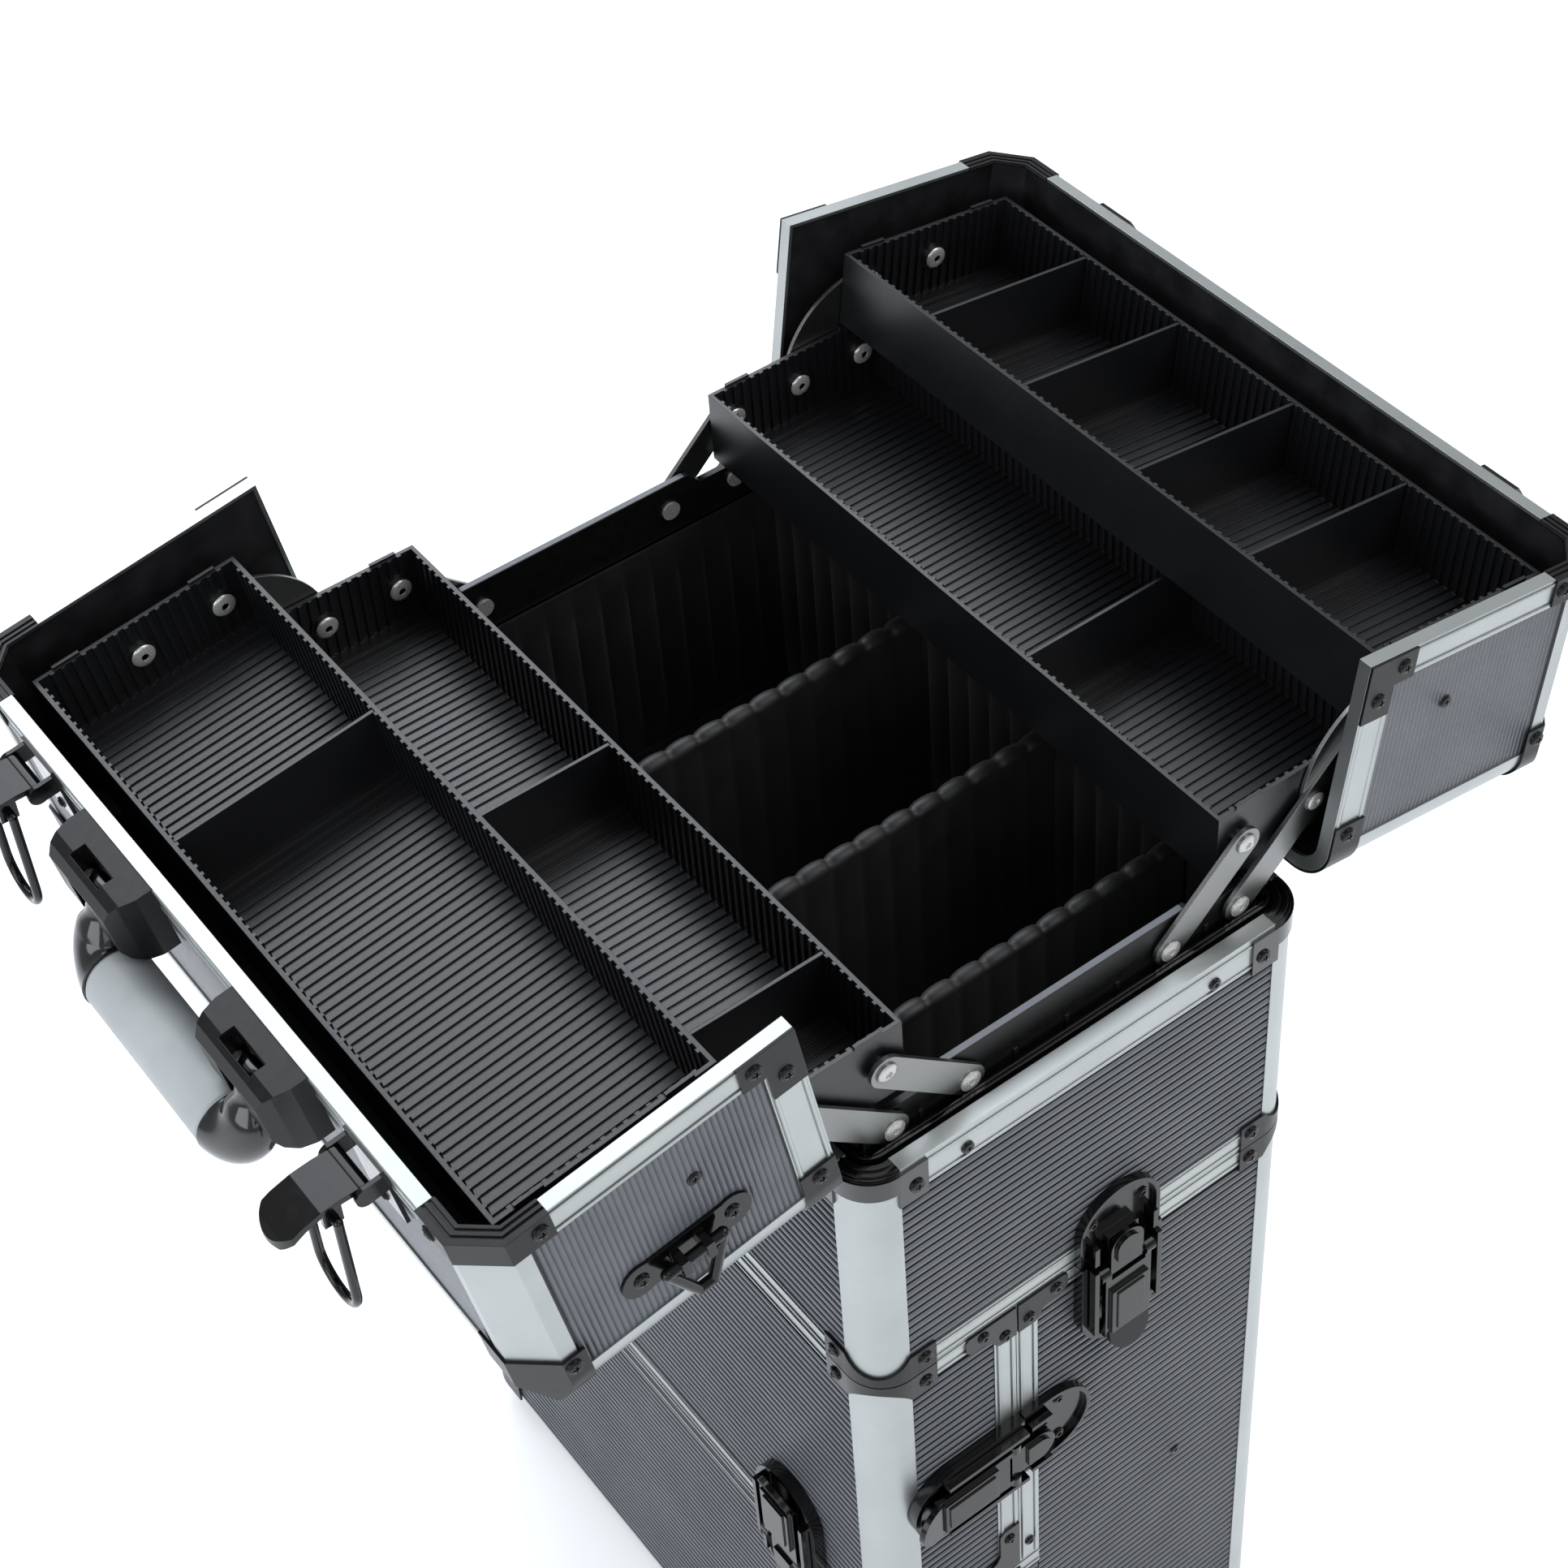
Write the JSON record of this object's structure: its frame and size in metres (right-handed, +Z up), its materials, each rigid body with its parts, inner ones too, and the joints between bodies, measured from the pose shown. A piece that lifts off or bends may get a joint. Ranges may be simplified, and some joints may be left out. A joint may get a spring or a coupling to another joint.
{
  "type": "makeup train case",
  "caption": "Rolling makeup train case with open hinged half lids, cantilever trays, a padded divided well and a cabinet with a latched front door below.",
  "frame": {"origin": "middle of the case's length and width, in the plane of the top rim of the train case", "axes": "+X along the case towards the end with the door latch, +Y across it towards the right-hand lid, +Z up"},
  "size_m": [0.3963, 0.5755, 0.6598],
  "materials": {
    "ribbed_panel": "ribbed satin",
    "satin_aluminium": "satin",
    "black_plastic": "satin",
    "black_steel": "semi-gloss",
    "plated_steel": "satin",
    "tray_plastic": "fine matte",
    "liner_fabric": "padded",
    "grey_grip": "satin",
    "gloss_black": "gloss",
    "tyre_rubber": "matte"
  },
  "bodies": {
    "case": {"case_shell": "ribbed_panel", "case_frame": "satin_aluminium", "case_rim": "satin_aluminium", "rim_channel": "black_plastic", "well_liner": "liner_fabric", "well_dividers": "liner_fabric", "end_plates": "black_steel", "pivot_rivets": "plated_steel", "cabinet_shell": "ribbed_panel", "lower_frame": "satin_aluminium", "frame_brackets": "black_plastic", "frame_screws": "black_steel", "latch_bases": "black_steel", "hinges": "plated_steel", "base_plate": "black_plastic", "trolley_tubes": "satin_aluminium"},
    "door": {"door_shell": "ribbed_panel", "door_frame": "satin_aluminium", "door_hardware": "black_steel"},
    "lid_left": {"lid_left_shell": "ribbed_panel", "lid_left_frame": "satin_aluminium", "lid_left_corners": "black_plastic", "handle_brackets": "black_plastic", "handle_pins": "plated_steel", "lid_left_hardware": "black_steel"},
    "lid_right": {"lid_right_shell": "ribbed_panel", "lid_right_frame": "satin_aluminium", "lid_right_corners": "black_plastic", "lid_right_keepers": "black_steel"},
    "short_arms_left": {"short_arms_left": "plated_steel"},
    "long_arms_left": {"long_arms_left": "plated_steel"},
    "link_arms_left": {"link_arms_left": "plated_steel"},
    "tray_inner_left": {"tray_inner_left": "tray_plastic", "dividers_inner_left": "tray_plastic"},
    "tray_outer_left": {"tray_outer_left": "tray_plastic", "dividers_outer_left": "tray_plastic"},
    "short_arms_right": {"short_arms_right": "plated_steel"},
    "long_arms_right": {"long_arms_right": "plated_steel"},
    "link_arms_right": {"link_arms_right": "plated_steel"},
    "tray_inner_right": {"tray_inner_right": "tray_plastic", "dividers_inner_right": "tray_plastic"},
    "tray_outer_right": {"tray_outer_right": "tray_plastic", "dividers_outer_right": "tray_plastic"},
    "handle": {"handle_ends": "gloss_black", "handle_grip": "grey_grip"},
    "toggle_near": {"toggle_near": "black_steel"},
    "bail_near": {"bail_near": "black_steel"},
    "ring_near": {"ring_near": "black_steel"},
    "toggle_far": {"toggle_far": "black_steel"},
    "bail_far": {"bail_far": "black_steel"},
    "ring_far": {"ring_far": "black_steel"},
    "latch_lever_near": {"latch_lever_near": "black_steel"},
    "latch_lever_far": {"latch_lever_far": "black_steel"},
    "latch_lever_door": {"latch_lever_door": "black_steel"},
    "latch_lever_low_near": {"latch_lever_low_near": "black_steel"},
    "latch_lever_low_far": {"latch_lever_low_far": "black_steel"},
    "wheel_front": {"wheel_front": "tyre_rubber"},
    "wheel_back": {"wheel_back": "tyre_rubber"},
    "trolley_handle": {"trolley_handle": "satin_aluminium"}
  },
  "joints": [
    {"name": "lid_left_hinge", "type": "hinge", "parent": "case", "child": "lid_left", "pos_m": [0, -0.1145, 0], "axis": [-1, 0, 0], "range_deg": [0, 98.8]},
    {"name": "short_arms_left_pivot", "type": "hinge", "parent": "case", "child": "short_arms_left", "pos_m": [0, -0.049, 0.005], "axis": [-1, 0, 0], "range_deg": [0, 87.51]},
    {"name": "long_arms_left_pivot", "type": "hinge", "parent": "case", "child": "long_arms_left", "pos_m": [0, -0.0845, 0.005], "axis": [-1, 0, 0], "range_deg": [0, 87.51]},
    {"name": "tray_inner_left_pivot", "type": "hinge", "parent": "short_arms_left", "child": "tray_inner_left", "pos_m": [0, -0.08623, 0.03912], "axis": [-1, 0, 0], "range_deg": [-87.51, 0]},
    {"name": "tray_outer_left_pivot", "type": "hinge", "parent": "long_arms_left", "child": "tray_outer_left", "pos_m": [0, -0.1625, 0.07648], "axis": [-1, 0, 0], "range_deg": [-79.91, 0]},
    {"name": "link_arms_left_pivot", "type": "hinge", "parent": "tray_inner_left", "child": "link_arms_left", "pos_m": [0, -0.15673, 0.03912], "axis": [-1, 0, 0], "range_deg": [0, 90.94]},
    {"name": "lid_right_hinge", "type": "hinge", "parent": "case", "child": "lid_right", "pos_m": [0, 0.1145, 0], "axis": [1, 0, 0], "range_deg": [0, 98.8]},
    {"name": "short_arms_right_pivot", "type": "hinge", "parent": "case", "child": "short_arms_right", "pos_m": [0, 0.049, 0.005], "axis": [1, 0, 0], "range_deg": [0, 87.51]},
    {"name": "long_arms_right_pivot", "type": "hinge", "parent": "case", "child": "long_arms_right", "pos_m": [0, 0.0845, 0.005], "axis": [1, 0, 0], "range_deg": [0, 87.51]},
    {"name": "tray_inner_right_pivot", "type": "hinge", "parent": "short_arms_right", "child": "tray_inner_right", "pos_m": [0, 0.08623, 0.03912], "axis": [1, 0, 0], "range_deg": [-87.51, 0]},
    {"name": "tray_outer_right_pivot", "type": "hinge", "parent": "long_arms_right", "child": "tray_outer_right", "pos_m": [0, 0.1625, 0.07648], "axis": [1, 0, 0], "range_deg": [-79.91, 0]},
    {"name": "link_arms_right_pivot", "type": "hinge", "parent": "tray_inner_right", "child": "link_arms_right", "pos_m": [0, 0.15673, 0.03912], "axis": [1, 0, 0], "range_deg": [0, 90.94]},
    {"name": "handle_hinge", "type": "hinge", "parent": "lid_left", "child": "handle", "pos_m": [0, -0.27195, 0.0758], "axis": [-1, 0, 0], "range_deg": [-18, 67]},
    {"name": "toggle_near_hinge", "type": "hinge", "parent": "lid_left", "child": "toggle_near", "pos_m": [0.118, -0.27013, 0.08367], "axis": [-1, 0, 0], "range_deg": [-94, 55]},
    {"name": "bail_near_hinge", "type": "hinge", "parent": "toggle_near", "child": "bail_near", "pos_m": [0.118, -0.28213, 0.08007], "axis": [-1, 0, 0], "range_deg": [-55, 94]},
    {"name": "ring_near_hinge", "type": "hinge", "parent": "lid_left", "child": "ring_near", "pos_m": [0.1868, -0.18273, 0.03548], "axis": [0, -0.9882, -0.153], "range_deg": [0, 150]},
    {"name": "toggle_far_hinge", "type": "hinge", "parent": "lid_left", "child": "toggle_far", "pos_m": [-0.118, -0.27013, 0.08367], "axis": [-1, 0, 0], "range_deg": [-94, 55]},
    {"name": "bail_far_hinge", "type": "hinge", "parent": "toggle_far", "child": "bail_far", "pos_m": [-0.118, -0.28213, 0.08007], "axis": [-1, 0, 0], "range_deg": [-55, 94]},
    {"name": "ring_far_hinge", "type": "hinge", "parent": "lid_left", "child": "ring_far", "pos_m": [-0.1868, -0.18273, 0.03548], "axis": [0, 0.9882, 0.153], "range_deg": [0, 150]},
    {"name": "latch_near_hinge", "type": "hinge", "parent": "case", "child": "latch_lever_near", "pos_m": [0.1885, 0.012, -0.14], "axis": [0, -1, 0], "range_deg": [0, 100]},
    {"name": "latch_far_hinge", "type": "hinge", "parent": "case", "child": "latch_lever_far", "pos_m": [-0.1885, 0.012, -0.14], "axis": [0, 1, 0], "range_deg": [0, 100]},
    {"name": "door_hinge", "type": "hinge", "parent": "case", "child": "door", "pos_m": [-0.1865, -0.03936, 0], "axis": [0, 0, -1], "range_deg": [0, 90]},
    {"name": "latch_door_hinge", "type": "hinge", "parent": "door", "child": "latch_lever_door", "pos_m": [0.1885, -0.04716, -0.23], "axis": [0, 0, 1], "range_deg": [0, 100]},
    {"name": "latch_low_near_hinge", "type": "hinge", "parent": "door", "child": "latch_lever_low_near", "pos_m": [0.115, -0.1165, -0.319], "axis": [1, 0, 0], "range_deg": [0, 100]},
    {"name": "latch_low_far_hinge", "type": "hinge", "parent": "door", "child": "latch_lever_low_far", "pos_m": [-0.115, -0.1165, -0.319], "axis": [1, 0, 0], "range_deg": [0, 100]},
    {"name": "wheel_front_spin", "type": "hinge", "parent": "case", "child": "wheel_front", "pos_m": [-0.158, -0.079, -0.523], "axis": [0, 1, 0], "continuous": true},
    {"name": "wheel_back_spin", "type": "hinge", "parent": "case", "child": "wheel_back", "pos_m": [-0.158, 0.079, -0.523], "axis": [0, 1, 0], "continuous": true},
    {"name": "trolley_slide", "type": "slide", "parent": "case", "child": "trolley_handle", "axis": [0, 0, 1], "range_m": [0, 0.3]}
  ],
  "couplings": [
    {"joint": "short_arms_left_pivot", "follows": "lid_left_hinge", "ratio": 0.88563},
    {"joint": "long_arms_left_pivot", "follows": "lid_left_hinge", "ratio": 0.88563},
    {"joint": "tray_inner_left_pivot", "follows": "lid_left_hinge", "ratio": -0.88563},
    {"joint": "tray_outer_left_pivot", "follows": "lid_left_hinge", "ratio": -0.8087},
    {"joint": "link_arms_left_pivot", "follows": "lid_left_hinge", "ratio": 0.92036},
    {"joint": "short_arms_right_pivot", "follows": "lid_right_hinge", "ratio": 0.88563},
    {"joint": "long_arms_right_pivot", "follows": "lid_right_hinge", "ratio": 0.88563},
    {"joint": "tray_inner_right_pivot", "follows": "lid_right_hinge", "ratio": -0.88563},
    {"joint": "tray_outer_right_pivot", "follows": "lid_right_hinge", "ratio": -0.8087},
    {"joint": "link_arms_right_pivot", "follows": "lid_right_hinge", "ratio": 0.92036},
    {"joint": "bail_near_hinge", "follows": "toggle_near_hinge", "ratio": -1},
    {"joint": "bail_far_hinge", "follows": "toggle_far_hinge", "ratio": -1}
  ]
}
